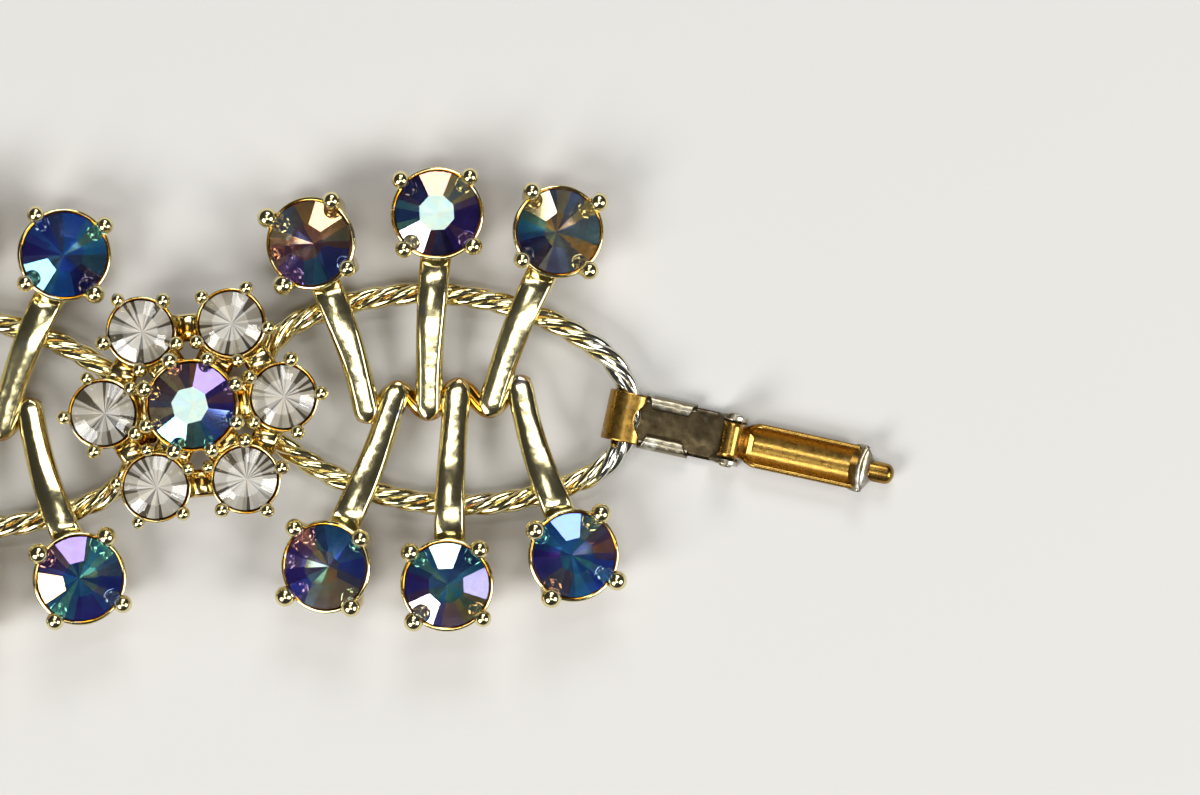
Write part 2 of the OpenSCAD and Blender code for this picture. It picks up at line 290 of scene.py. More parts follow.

# %% [markdown]
# Rhinestones are lead glass with a foiled back. The crown lets light in, the foil throws it back. The
# large stones also wear an aurora coat, a metal-oxide film that turns each facet its own colour. Every
# crown facet carries a tone, and the ramp turns tones into the film's colours; its near-white last
# stop, ice, is also used as a painted glint on facets that mirror a softbox.

# %% Stone finishes
AURORA_STOPS = [(0.0, "#453C78"), (0.1, "#7A58D8"), (0.2, "#5C8CFF"), (0.3, "#4CB6DC"), (0.4, "#7CEAF4"),
                (0.5, "#D2F6E8"), (0.6, "#E4DCA0"), (0.7, "#F6C878"), (0.8, "#E69A7C"), (0.9, "#DC9CD2"),
                (1.0, "#F2F8FF")]


def coated_glass(name):
    material, tree, surface = new_material(name)
    tone = add(tree, "ShaderNodeAttribute", attribute_name="tone").outputs["Fac"]
    place = add(tree, "ShaderNodeTexCoord").outputs["Object"]
    cloud = add(tree, "ShaderNodeTexNoise", [("Vector", place)], in_Scale=1 / (0.8 * MM), in_Detail=2.0)
    shift = add(tree, "ShaderNodeMapRange", [("Value", cloud.outputs["Fac"])], in_3=-0.05, in_4=0.05)
    mixed = add(tree, "ShaderNodeMath", [(0, tone), (1, shift.outputs["Result"])], operation="ADD")
    colour = ramp(tree, mixed.outputs[0], AURORA_STOPS)
    tree.links.new(colour, surface.inputs["Base Color"])
    surface.inputs["Metallic"].default_value = 0.22
    surface.inputs["Transmission Weight"].default_value = 1.0
    surface.inputs["Roughness"].default_value = 0.03
    surface.inputs["IOR"].default_value = 1.58
    return material


def foil(name, stops, roughness, metallic):
    material, tree, surface = new_material(name)
    tone = add(tree, "ShaderNodeAttribute", attribute_name="tone").outputs["Fac"]
    colour = ramp(tree, tone, stops)
    tree.links.new(colour, surface.inputs["Base Color"])
    surface.inputs["Metallic"].default_value = metallic
    surface.inputs["Roughness"].default_value = roughness
    return material


def clear_glass(name):
    material, tree, surface = new_material(name)
    place = add(tree, "ShaderNodeTexCoord").outputs["Object"]
    cloud = add(tree, "ShaderNodeTexNoise", [("Vector", place)], in_Scale=1 / (1.5 * MM), in_Detail=3.0)
    tint = ramp(tree, cloud.outputs["Fac"], [(0.35, "#FBFAF6"), (0.7, "#F2E8D2")])
    tree.links.new(tint, surface.inputs["Base Color"])
    surface.inputs["Transmission Weight"].default_value = 1.0
    surface.inputs["Roughness"].default_value = 0.04
    surface.inputs["IOR"].default_value = 1.56
    return material


AURORA = coated_glass("Aurora_Coated_Glass")
FOIL_STOPS = [(0.0, "#8C7FB0"), (0.2, "#9FB6E8"), (0.35, "#A8DCE0"), (0.5, "#F2FFF6"), (0.65, "#F0E2B0"),
              (0.8, "#F2C49C"), (1.0, "#FFFFFF")]
AURORA_FOIL = foil("Stone_Foil_Coloured", FOIL_STOPS, 0.25, 0.75)
CRYSTAL = clear_glass("Clear_Lead_Glass")
CRYSTAL_FOIL = foil("Stone_Foil_Silver", [(0.0, "#6E675C"), (0.5, "#F2EEE4"), (1.0, "#FFFFFF")], 0.2, 0.35)
print("materials", [m.name for m in bpy.data.materials])

# %% [markdown]
# The rope wire. On the real casting it copies a twisted wire: four round strands laid together. It could
# be a texture on a plain tube, but the strands catch the light one by one, so they are modelled. Geometry
# Nodes suit it: one closed curve, four copies pushed off the line and turned steadily round it.

# %% The oval's line and the rope tree
def oval_points(angle_steps):
    """Points round the four-arc oval, anticlockwise from the right tip, in the link's own place."""
    points = []
    arcs = [(TIP_CX, 0, TIP_R, -TIP_HALF, TIP_HALF),
            (0, OVAL_B - SIDE_R, SIDE_R, TIP_HALF, math.pi - TIP_HALF),
            (-TIP_CX, 0, TIP_R, math.pi - TIP_HALF, math.pi + TIP_HALF),
            (0, SIDE_R - OVAL_B, SIDE_R, math.pi + TIP_HALF, TAU - TIP_HALF)]
    for cx, cy, r, first, last in arcs:
        steps = max(8, round(angle_steps * r * (last - first) / 67))
        for i in range(steps):
            a = first + (last - first) * i / steps
            x, y = cx + r * math.cos(a), cy + r * math.sin(a)
            points.append((x * math.cos(OVAL_SKEW) - y * math.sin(OVAL_SKEW),
                           x * math.sin(OVAL_SKEW) + y * math.cos(OVAL_SKEW), WIRE_Z))
    return points


def rope_tree():
    tree = bpy.data.node_groups.new("Twisted_Rope", "GeometryNodeTree")
    tree.interface.new_socket("Geometry", in_out="INPUT", socket_type="NodeSocketGeometry")
    for name, value in (("Strand Radius", 0.4 * MM), ("Lay Radius", 0.43 * MM), ("Turns", 9.0)):
        socket = tree.interface.new_socket(name, in_out="INPUT", socket_type="NodeSocketFloat")
        socket.default_value = value
    tree.interface.new_socket("Finish", in_out="INPUT", socket_type="NodeSocketMaterial")
    tree.interface.new_socket("Geometry", in_out="OUTPUT", socket_type="NodeSocketGeometry")
    given = add(tree, "NodeGroupInput").outputs
    line = add(tree, "GeometryNodeMeshToCurve", [("Mesh", given["Geometry"])])
    line = add(tree, "GeometryNodeResampleCurve", [("Curve", line.outputs[0])], in_Count=560)
    along = add(tree, "GeometryNodeSplineParameter").outputs["Factor"]
    tangent = add(tree, "GeometryNodeInputTangent").outputs[0]
    side = add(tree, "ShaderNodeVectorMath", [(0, tangent)], operation="CROSS_PRODUCT", in_1=(0, 0, 1))
    join = add(tree, "GeometryNodeJoinGeometry")
    turned = add(tree, "ShaderNodeMath", [(0, along), (1, given["Turns"])], operation="MULTIPLY")
    for strand in range(4):
        angle = add(tree, "ShaderNodeMath", [(0, turned.outputs[0])], operation="MULTIPLY_ADD",
                    in_1=TAU, in_2=TAU * strand / 4)
        across = add(tree, "ShaderNodeMath", [(0, angle.outputs[0])], operation="COSINE")
        rise = add(tree, "ShaderNodeMath", [(0, angle.outputs[0])], operation="SINE")
        side_part = add(tree, "ShaderNodeVectorMath", [(0, side.outputs[0]), ("Scale", across.outputs[0])],
                        operation="SCALE")
        rise_part = add(tree, "ShaderNodeCombineXYZ", [("Z", rise.outputs[0])])
        both = add(tree, "ShaderNodeVectorMath", [(0, side_part.outputs[0]), (1, rise_part.outputs[0])],
                   operation="ADD")
        offset = add(tree, "ShaderNodeVectorMath", [(0, both.outputs[0]), ("Scale", given["Lay Radius"])],
                     operation="SCALE")
        moved = add(tree, "GeometryNodeSetPosition",
                    [("Geometry", line.outputs[0]), ("Offset", offset.outputs[0])])
        profile = add(tree, "GeometryNodeCurvePrimitiveCircle", [("Radius", given["Strand Radius"])],
                      in_Resolution=10)
        tube = add(tree, "GeometryNodeCurveToMesh",
                   [("Curve", moved.outputs[0]), ("Profile Curve", profile.outputs["Curve"])])
        tree.links.new(tube.outputs[0], join.inputs[0])
    real = add(tree, "GeometryNodeRealizeInstances", [("Geometry", join.outputs[0])])
    smooth = add(tree, "GeometryNodeSetShadeSmooth", [(0, real.outputs[0])])
    done = add(tree, "GeometryNodeSetMaterial",
               [("Geometry", smooth.outputs[0]), ("Material", given["Finish"])])
    add(tree, "NodeGroupOutput", [("Geometry", done.outputs[0])])
    return tree


def grown(name, mesh, tree, settings):
    """Runs a node tree on a mesh and returns the result as a new plain mesh."""
    maker = bpy.data.objects.new(name + "_maker", mesh)
    bpy.context.scene.collection.objects.link(maker)
    modifier = maker.modifiers.new("Grow", "NODES")
    modifier.node_group = tree
    for item in tree.interface.items_tree:
        if item.item_type == "SOCKET" and item.in_out == "INPUT" and item.name in settings:
            modifier[item.identifier] = settings[item.name]
    graph = bpy.context.evaluated_depsgraph_get()
    result = bpy.data.meshes.new_from_object(maker.evaluated_get(graph))
    maker.modifiers.clear()
    bpy.data.objects.remove(maker)
    result.name = name
    return result


def as_piece(name, mesh, body, shift=(0, 0, 0)):
    obj = bpy.data.objects.new(name, mesh)
    mesh.transform(Matrix.Translation([c * MM for c in shift]))
    bpy.context.scene.collection.objects.link(obj)
    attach(obj, body)
    return obj

# %% Rope ovals, one for each link
ROPE = rope_tree()
oval = oval_points(200)
lines = np.array(oval)
GROOVE_START, GROOVE_DEPTH, GROOVE_SHADE = 0.76, 0.25, 0.6
WEAR_FROM, WEAR_RUN, WEAR, WEAR_BY_CLASP = 9.0, 3.0, 0.12, 0.34
for k in LINKS:
    ring = bpy.data.meshes.new(f"oval_line_{k}")
    edges = [(i, (i + 1) % len(oval)) for i in range(len(oval))]
    ring.from_pydata([tuple(c * MM for c in p) for p in oval], edges, [])
    rope = grown(f"rope_oval_{k}", ring, ROPE, {"Finish": GOLD})
    points = np.zeros(len(rope.vertices) * 3, np.float32)
    rope.vertices.foreach_get("co", points)
    points = points.reshape(-1, 3) / MM
    # Points close to the rope's line lie in the grooves between the strands; their tone there is painted
    # shade.
    depth = np.array([np.sqrt(((lines - q) ** 2).sum(axis=1).min()) for q in points])
    groove = rope.attributes.new("tone", "FLOAT", "POINT")
    groove_shade = np.clip((GROOVE_START - depth) / GROOVE_DEPTH, 0, 1) * GROOVE_SHADE
    groove.data.foreach_set("value", groove_shade.astype(np.float32))
    at_tip = np.clip((points[:, 0] - WEAR_FROM) / WEAR_RUN, 0, 1)
    tip_wear = at_tip * (WEAR_BY_CLASP if k == LINKS[-1] else WEAR)
    rubbed = rope.attributes.new("rubbed", "FLOAT", "POINT")
    rubbed.data.foreach_set("value", tip_wear.astype(np.float32))
    as_piece(f"rope_oval_{k}", rope, f"link_{k}", (LINK_X[k], 0, 0))
print("rope triangles", len(rope.polygons) * 2)

# %% [markdown]
# The arms. Each is a flat ribbon with bevelled edges that leaves its cup, arches over the rope and dips to
# the serpentine rod in the middle. A swept outline gives the two bevels that catch the lights as lines.

# %% Arms and the serpentine rod
def bevelled(width, thick, bevel=0.3):
    """A flat-topped bar's outline, with doubled points so that its flats stay flat when shaded smooth."""
    w, t, b = width / 2, thick / 2, bevel
    corners = [(w, -t + b), (w, t - b), (w - b, t), (-w + b, t),
               (-w, t - b), (-w, -t + b), (-w + b, -t), (w - b, -t)]
    outline = []
    for i, (x, y) in enumerate(corners):
        px, py = corners[i - 1]
        nx, ny = corners[(i + 1) % 8]
        for qx, qy in ((px, py), (nx, ny)):
            d = math.hypot(qx - x, qy - y)
            outline.append((x + (qx - x) * 0.05 / d, y + (qy - y) * 0.05 / d))
    return outline


ARM_STEPS = 48
ARM_START = 2.6      # where the ribbon leaves the stone's middle
ARM_OVER = 0.45      # how far it runs past the rod
ARM_EASE = 3.0       # the bend between its flat part and its fall
ARM_CLEAR = 1.05     # its top's height over the wire
ARM_DIP = 0.75       # how far it dips at the cup
ARM_BOW = {"top_left": 0.35, "top_middle": -0.12, "top_right": -0.3,
           "bottom_left": -0.3, "bottom_middle": 0.15, "bottom_right": 0.35}


def arm(shape, spot):
    x, y = STONE_AT[spot]
    fx, fy = FOOT_AT[spot]
    run = math.hypot(fx - x, fy - y)
    ax, ay = (fx - x) / run, (fy - y) / run
    crest = WIRE_Z + WIRE_D / 2 + ARM_CLEAR
    cross = run * (abs(y) - OVAL_B) / abs(y - fy)
    full = run + ARM_OVER
    fall = (crest - WIRE_Z - 0.62) / (full - cross - ARM_EASE / 2)
    path = []
    for i in range(ARM_STEPS + 1):
        d = ARM_START + (full - ARM_START) * i / ARM_STEPS
        if d < cross:
            top = crest - ARM_DIP * (1 - (d - ARM_START) / (cross - ARM_START)) ** 2
        else:
            eased, rest = min(d - cross, ARM_EASE), max(0.0, d - cross - ARM_EASE)
            top = crest - fall * (eased ** 2 / (2 * ARM_EASE) + rest)
        bow = ARM_BOW[spot] * math.sin(math.pi * min(1.0, (d - ARM_START) / (run - ARM_START)))
        path.append((x + ax * d - ay * bow, y + ay * d + ax * bow, top - 0.55))

    def outline(t):
        tip = math.sqrt(max(0.02, 1 - max(0.0, (t - 0.92) / 0.082) ** 2))
        width = (2.25 - 0.3 * smooth_step(1.3 * t)) * tip
        return bevelled(width, 1.1 + 0.15 * t, min(width * 0.4, 0.22 + 0.14 * smooth_step(2.2 * t - 0.7)))

    points, faces = sweep(path, outline)
    # The last faces, where the arm dips to the rod, get a tone: painted shade at the arm's foot.
    foot_shade = [0.4 * smooth_step(9 * (i / len(faces)) - 8) for i in range(len(faces))]
    shape.add(points, faces, tone=foot_shade)


def serpentine(shape):
    points = []
    for i in range(121):
        x = -6.0 + 12.0 * i / 120
        points.append((x, -0.9 * math.cos((x + 5.5) * TAU / 4.4), WIRE_Z - 0.1))
    # The rod lies low where the arms' feet meet it; its tone paints it darker as shade.
    shape.add(*sweep(points, lambda t: ring_outline(0.64, 16)), tone=0.5)

# %% [markdown]
# The cups. A prong setting is a shallow bowl on a solid stem, with claws up its side. The claws' tips are
# burnished over the stone and end in round beads, which Geometry Nodes place: one bead on every point.

# %% Cups and claws
rng = random.Random(7)
LARGE_CUP = [(0, -3.3), (1.4, -3.3), (2.2, -3.05), (2.75, -2.2), (3.05, -1.0), (3.3, -0.35), (3.36, -0.08),
             (3.3, 0.08), (3.18, 0.12), (3.06, 0.1), (3.04, -0.3), (2.7, -0.8), (1.2, -1.75), (0, -2.1)]
PETAL_CUP = [(0, -1.85), (1.3, -1.85), (1.9, -1.6), (2.3, -0.8), (2.5, -0.2), (2.53, 0.0), (2.44, 0.07),
             (2.35, 0.04), (2.29, -0.2), (1.9, -0.6), (0.8, -1.3), (0, -1.5)]
CENTRE_CUP = [(0, -2.8), (2.5, -2.8), (2.9, -2.3), (3.1, -1.0), (3.3, -0.35), (3.34, -0.05), (3.26, 0.06),
              (3.14, 0.05), (3.07, -0.05), (3.04, -0.3), (2.6, -0.8), (1.2, -1.6), (0, -1.9)]
FOOT = [(0, 0), (1.6, 0), (1.95, 0.15), (2.1, 0.6), (1.9, 1.3), (0, 1.4)]


def cup_tones(profile, sides, low, high):
    """How deep each face lies, as painted shade: 1 at the cup's foot, 0 at its rim, 1 again in the pocket."""
    tones = [low] * sides
    rim = max(range(len(profile)), key=lambda i: profile[i][1])
    for k in range(len(profile) - 3):
        z = profile[k + 1][1]
        inside = k + 1 >= rim
        tones += [low if inside else max(high, min(low, -z / 2.2 * low))] * sides
    return tones + [low] * sides


def claws(shape, beads, move, count, first, foot, elbow, tip, thick, bead, bead_out, bead_up):
    for i in range(count):
        a = first + TAU * i / count
        c, s = math.cos(a), math.sin(a)
        line = [foot, elbow, tip]
        path = [(r * c, r * s, z) for r, z in line]
        curve = [tuple((1 - t) ** 2 * np.array(path[0]) + 2 * t * (1 - t) * np.array(path[1])
                       + t * t * np.array(path[2])) for t in np.linspace(0, 1, 9)]
        shape.add(*sweep(curve, lambda t: ring_outline(thick * (1.15 - 0.25 * t), 10), up=(-s, c, 0.01)),
                  tone=0.25, move=move)
        centre = move @ np.array([bead_out * c, bead_out * s, bead_up, 1])
        beads.append((centre[:3], bead * rng.uniform(0.9, 1.12)))


def bead_tree():
    tree = bpy.data.node_groups.new("Claw_Beads", "GeometryNodeTree")
    tree.interface.new_socket("Geometry", in_out="INPUT", socket_type="NodeSocketGeometry")
    roundness = tree.interface.new_socket("Roundness", in_out="INPUT", socket_type="NodeSocketInt")
    roundness.default_value = 4
    tree.interface.new_socket("Finish", in_out="INPUT", socket_type="NodeSocketMaterial")
    tree.interface.new_socket("Geometry", in_out="OUTPUT", socket_type="NodeSocketGeometry")
    given = add(tree, "NodeGroupInput").outputs
    points = add(tree, "GeometryNodeMeshToPoints", [("Mesh", given["Geometry"])])
    bead = add(tree, "GeometryNodeMeshIcoSphere", [("Subdivisions", given["Roundness"])])
    size = add(tree, "GeometryNodeInputNamedAttribute", data_type="FLOAT", in_Name="bead_radius")
    placed_beads = add(tree, "GeometryNodeInstanceOnPoints",
                       [("Points", points.outputs[0]), ("Instance", bead.outputs["Mesh"]),
                        ("Scale", size.outputs[0])])
    real = add(tree, "GeometryNodeRealizeInstances", [("Geometry", placed_beads.outputs[0])])
    smooth = add(tree, "GeometryNodeSetShadeSmooth", [(0, real.outputs[0])])
    done = add(tree, "GeometryNodeSetMaterial",
               [("Geometry", smooth.outputs[0]), ("Material", given["Finish"])])
    add(tree, "NodeGroupOutput", [("Geometry", done.outputs[0])])
    return tree


BEADS = bead_tree()


def bead_piece(name, beads, body, shift):
    mesh = bpy.data.meshes.new(name + "_points")
    mesh.from_pydata([tuple(c * MM for c in p) for p, r in beads], [], [])
    sizes = mesh.attributes.new("bead_radius", "FLOAT", "POINT")
    sizes.data.foreach_set("value", np.array([r * MM for p, r in beads], np.float32))
    return as_piece(name, grown(name, mesh, BEADS, {"Finish": GOLD}), body, shift)


def stone_place(spot):
    x, y = STONE_AT[spot]
    return placed(x, y, CUP_H, TURN_OF[spot], LEAN_OF[spot])


for k in LINKS:
    casting, beads = Shape(), []
    for spot in SPOTS:
        arm(casting, spot)
        x, y = STONE_AT[spot]
        # The stem under each cup gets a tone of 0.6: painted shade under the cup.
        casting.add(*lathe(FOOT), tone=0.6, move=placed(x, y, 0))
        here = stone_place(spot)
        casting.add(*lathe(LARGE_CUP), tone=cup_tones(LARGE_CUP, 48, 0.5, 0.0), move=here)
        claws(casting, beads, here, 4, TAU / 8, (2.2, -3.0), (3.55, -1.9), (3.48, 0.6), 0.46, 0.67, 3.5, 0.7)
    serpentine(casting)
    casting.piece(f"casting_{k}", f"link_{k}", [GOLD], [f"link_{k}_frame"], "gold_plate", (LINK_X[k], 0, 0))
    bead_piece(f"casting_beads_{k}", beads, f"link_{k}", (LINK_X[k], 0, 0))
print("casting faces", len(casting.faces), "beads", len(beads))

# %% [markdown]
# The flower is a second casting, soldered on the oval's near tip: six petal cups round a raised middle
# one, tied by short webs with small gaps between, and a hook beneath that goes round the last link's tip.

# %% Flowers
def collar(inner, outer, width, sides=40, ease=0.12):
    """A ring about the Y axis with eased edges."""
    h = width / 2
    outline = [(inner + ease, -h), (outer - ease, -h), (outer, -h + ease), (outer, h - ease),
               (outer - ease, h), (inner + ease, h), (inner, h - ease), (inner, -h + ease)]
    points = [(r * math.cos(TAU * i / sides), y, r * math.sin(TAU * i / sides))
              for i in range(sides) for r, y in outline]
    m = len(outline)
    faces = [[i * m + j, i * m + (j + 1) % m, (i + 1) % sides * m + (j + 1) % m, (i + 1) % sides * m + j]
             for i in range(sides) for j in range(m)]
    return points, faces


def bar(start, end, width, height):
    """A short web between two points, flat-sided and eased."""
    path = [np.array(start) + (np.array(end) - np.array(start)) * t for t in (0, 0.5, 1)]
    return sweep(path, lambda t: bevelled(width, height, 0.25))


def petal_place(i):
    a = PETAL_TURN + TAU * i / 6
    return placed(PETAL_R * math.cos(a), PETAL_R * math.sin(a), PETAL_TOP, a)


hook_x = HINGES["hinge_1_2"]["pos_m"][0] / MM - LINK_X[1] - PITCH - FLOWER[0]
hook_y = HINGES["hinge_1_2"]["pos_m"][1] / MM - FLOWER[1]
for k in LINKS:
    flower, beads = Shape(), []
    for i in range(6):
        flower.add(*lathe(PETAL_CUP, 40), tone=cup_tones(PETAL_CUP, 40, 0.5, 0.05), move=petal_place(i))
        claws(flower, beads, petal_place(i), 5, 0, (1.9, -1.5), (2.75, -0.9), (2.72, 0.4),
              0.34, 0.5, 2.75, 0.5)
        a, b = PETAL_TURN + TAU * i / 6, PETAL_TURN + TAU * (i + 1) / 6
        near, far = ((r * math.cos(a), r * math.sin(a), 3.95) for r in (2.6, 4.6))
        # The webs, and the collar and posts below, lie low between and under the cups; their tones paint them
        # darker as shade.
        flower.add(*bar(near, far, 2.7, 1.1), tone=0.4)
        p, q = (np.array([PETAL_R * math.cos(t), PETAL_R * math.sin(t), 3.85]) for t in (a, b))
        flower.add(*bar(p + (q - p) * 0.3, p + (q - p) * 0.7, 2.0, 1.2), tone=0.4)
    centre = placed(0, 0, CENTRE_TOP)
    flower.add(*lathe(CENTRE_CUP), tone=cup_tones(CENTRE_CUP, 48, 0.55, 0.05), move=centre)
    claws(flower, beads, centre, 8, TAU / 16, (3.0, -2.4), (3.45, -1.0), (3.42, 0.4), 0.36, 0.55, 3.47, 0.48)
    flower.add(*collar(1.02, 1.62, 2.2), tone=0.4, move=placed(hook_x, hook_y, WIRE_Z))
    flower.add(*sweep([(hook_x + 0.5, hook_y, WIRE_Z + 1.2), (hook_x + 0.6, hook_y, FLOWER_Z + 0.7)],
                      lambda t: bevelled(2.1, 1.8, 0.2), up=(1, 0, 0)), tone=0.5)
    flower.add(*sweep([(4.28, 0.73, WIRE_Z + 0.65), (4.28, 0.73, FLOWER_Z + 0.6)],
                      lambda t: bevelled(2.0, 1.2, 0.25), up=(1, 0, 0)), tone=0.5)
    shift = (LINK_X[k] + FLOWER[0], FLOWER[1], 0)
    flower.piece(f"flower_{k}", f"link_{k}", [GOLD], [f"link_{k}_flower"], "gold_plate", shift)
    bead_piece(f"flower_beads_{k}", beads, f"link_{k}", shift)
print("flower faces", len(flower.faces), "beads", len(beads))

# %% [markdown]
# The stones. A chaton has an octagonal table, eight crown facets that meet the round girdle in scallops,
# and a pointed back with more facets. Each facet must be truly flat, or it won't flash, so the girdle
# points are found where each facet's plane cuts the round of the stone.

# %% Chatons
def chaton(radius, table, crown, depth, tones, back_tones, sides=8, backs=16, steps=4):
    """Points, faces, tones and slots: slot 0 is the glass crown, slot 1 the girdle and the foiled back."""
    ring = sides * steps
    half = math.pi / sides
    flat = table * math.cos(half)
    slope = (crown - 0.1) / (radius - flat)
    points, faces, tone, slot = [], [], [], []
    for i in range(sides):
        a = TAU * (i + 0.5) / sides
        points.append((table * math.cos(a), table * math.sin(a), crown))
    for j in range(ring):
        phi = TAU * j / ring
        off = (phi + half) % (2 * half) - half
        points.append((radius * math.cos(phi), radius * math.sin(phi),
                       crown - slope * (radius * math.cos(off) - flat)))
    back_half = math.pi / backs
    for j in range(ring):
        phi = TAU * j / ring
        off = (phi + back_half) % (2 * back_half) - back_half
        points.append((radius * math.cos(phi), radius * math.sin(phi),
                       -depth + (depth - 0.15) * math.cos(off)))
    points.append((0, 0, -depth))
    faces.append(list(range(sides)))
    tone.append(tones[-1])
    slot.append(0)
    for i in range(sides):
        arc = [sides + (i * steps - steps // 2 + s) % ring for s in range(steps + 1)]
        faces.append([(i - 1) % sides] + arc + [i])
        tone.append(tones[i])
        slot.append(0)
    upper, lower, tip = sides, sides + ring, sides + 2 * ring
    for j in range(ring):
        n = (j + 1) % ring
        faces.append([upper + j, lower + j, lower + n, upper + n])
        tone.append(0.0)
        slot.append(1)
    per = ring // backs
    for i in range(backs):
        arc = [lower + (i * per - per // 2 + s) % ring for s in range(per + 1)]
        faces.append(arc[::-1] + [tip])
        tone.append(back_tones[i])
        slot.append(1)
    return points, faces, tone, slot


HUES = {"dark": 0.0, "violet": 0.1, "blue": 0.2, "teal": 0.3, "cyan": 0.4, "mint": 0.5, "olive": 0.6,
        "gold": 0.7, "rose": 0.8, "pink": 0.9, "ice": 1.0}
# The colours of some stones of the last two links, facet by facet anticlockwise from the right, the
# table last: the film's colours, except that each ice facet is a painted glint, white where that facet
# mirrors a softbox.
LOOK = {
    (5, "top_left"): "gold gold gold olive rose violet teal blue rose",
    (5, "top_middle"): "violet olive rose dark teal ice dark violet mint",
    (5, "top_right"): "olive olive mint olive teal dark ice olive olive",
    (5, "bottom_left"): "blue cyan teal pink violet violet ice mint olive",
    (5, "bottom_middle"): "dark teal mint teal violet ice pink gold teal",
    (5, "bottom_right"): "rose olive blue teal violet rose cyan blue teal",
    (5, "centre"): "violet violet rose gold olive cyan teal blue mint",
    (4, "top_right"): "teal cyan blue blue violet teal teal dark blue",
    (4, "bottom_right"): "blue cyan violet pink gold cyan violet blue teal",
}


def tones_for(k, spot):
    names = LOOK.get((k, spot))
    if names:
        return [HUES[n] for n in names.split()]
    return [HUES[rng.choice(["dark", "violet", "blue", "teal", "cyan", "olive", "gold", "rose", "ice"])]
            for i in range(8)] + [HUES[rng.choice(["mint", "teal", "violet", "rose"])]]


def aurora_stone(k, spot, move, shift):
    back = [HUES[rng.choice(["dark", "violet", "blue", "teal", "gold", "rose", "olive"])] for i in range(16)]
    points, faces, tone, slot = chaton(STONE_R - 0.02, 1.32, 1.0, 1.85, tones_for(k, spot), back)
    stone = Shape().add(points, faces, tone=tone, slot=slot, smooth=False, move=move)
    stone.piece(f"rhinestone_{k}_{spot}", f"link_{k}", [AURORA, AURORA_FOIL], [f"stone_{k}_{spot}"],
                "aurora_stone", shift)


for k in LINKS:
    for spot in SPOTS:
        aurora_stone(k, spot, stone_place(spot), (LINK_X[k], 0, 0))
    shift = (LINK_X[k] + FLOWER[0], FLOWER[1], 0)
    aurora_stone(k, "centre", placed(0, 0, CENTRE_TOP, 0.2), shift)
    clear = Shape()
    for i in range(6):
        back = [rng.choice([0.0, 0.3, 0.6, 0.8, 1.0]) for j in range(48)]
        move = petal_place(i) @ placed(turn=rng.uniform(0, 1))
        points, faces, tone, slot = chaton(CRYSTAL_R - 0.02, 1.3, 0.55, 1.4, [0.5] * 13, back, 12, 48, 4)
        clear.add(points, faces, tone=tone, slot=slot, smooth=False, move=move)
    clear.piece(f"clear_crystals_{k}", f"link_{k}", [CRYSTAL, CRYSTAL_FOIL], [f"crystals_{k}"],
                "clear_crystal", shift)
print("stones done")

# %% [markdown]
# The clasp is folded from gold-plated strip. Thin metal is best built as a grid of points on its middle
# surface, given its thickness along the normals: bends, notches and rolled tabs all come from the grid.
# The clasp is drawn along its own length, u, and turned into place about the hinge that the frame gives.

# %% Strip-metal helpers
def strip(grid, thick):
    """A closed sheet around a grid of middle points, rows along it and columns across."""
    g = np.array(grid, float)
    n, m = g.shape[:2]
    normal = np.cross(np.gradient(g, axis=0), np.gradient(g, axis=1))
    normal /= np.linalg.norm(normal, axis=2, keepdims=True)
    sheets = [(g + normal * thick / 2).reshape(-1, 3), (g - normal * thick / 2).reshape(-1, 3)]
    points = np.concatenate(sheets)
    top, low = (lambda i, j: i * m + j), (lambda i, j: n * m + i * m + j)
    faces = []
    for i in range(n - 1):
        for j in range(m - 1):
            faces.append([top(i, j), top(i + 1, j), top(i + 1, j + 1), top(i, j + 1)])
            faces.append([low(i, j), low(i, j + 1), low(i + 1, j + 1), low(i + 1, j)])
        faces.append([top(i, 0), low(i, 0), low(i + 1, 0), top(i + 1, 0)])
        faces.append([top(i, m - 1), top(i + 1, m - 1), low(i + 1, m - 1), low(i, m - 1)])
    for j in range(m - 1):
        faces.append([top(0, j), top(0, j + 1), low(0, j + 1), low(0, j)])
        faces.append([top(n - 1, j), low(n - 1, j), low(n - 1, j + 1), top(n - 1, j + 1)])
    return points.tolist(), faces


def along_line(line, count):
    """count points evenly spaced along a line of points."""
    line = np.array(line, float)
    run = np.concatenate([[0], np.cumsum(np.linalg.norm(np.diff(line, axis=0), axis=1))])
    at = np.linspace(0, run[-1], count)
    return np.stack([np.interp(at, run, line[:, c]) for c in range(line.shape[1])], axis=1)


def slab(outline, low, high, ease=0.07):
    """An outline of (u, z) points, anticlockwise with u to the right, made solid from low to high along v."""
    flat = np.array(outline, float)
    middle_point = flat.mean(axis=0)
    inner = middle_point + (flat - middle_point) * (1 - ease / np.abs(flat - middle_point).max())
    m = len(flat)
    points = []
    for ring, v in ((inner, low), (flat, low + ease), (flat, high - ease), (inner, high)):
        points += [(u, v, z) for u, z in ring]
    faces = [[i * m + j, i * m + (j + 1) % m, (i + 1) * m + (j + 1) % m, (i + 1) * m + j]
             for i in range(3) for j in range(m)]
    faces = [f[::-1] for f in faces] + [list(range(m)), [3 * m + j for j in range(m)][::-1]]
    return points, faces


CLASP = HINGES["clasp_hinge"]
CLASP_AT = [c / MM for c in CLASP["pos_m"]]
CLASP_YAW = math.atan2(-CLASP["axis"][0], CLASP["axis"][1])
PIVOT = HINGES["cover_hinge"]["pos_m"]
PIVOT_U = math.hypot(PIVOT[0] / MM - CLASP_AT[0], PIVOT[1] / MM - CLASP_AT[1])
PIVOT_Z = PIVOT[2] / MM
CLASP_MOVE = placed(CLASP_AT[0], CLASP_AT[1], 0, CLASP_YAW)
print("clasp turned", round(math.degrees(CLASP_YAW), 1), "pivot", round(PIVOT_U, 2), round(PIVOT_Z, 2))

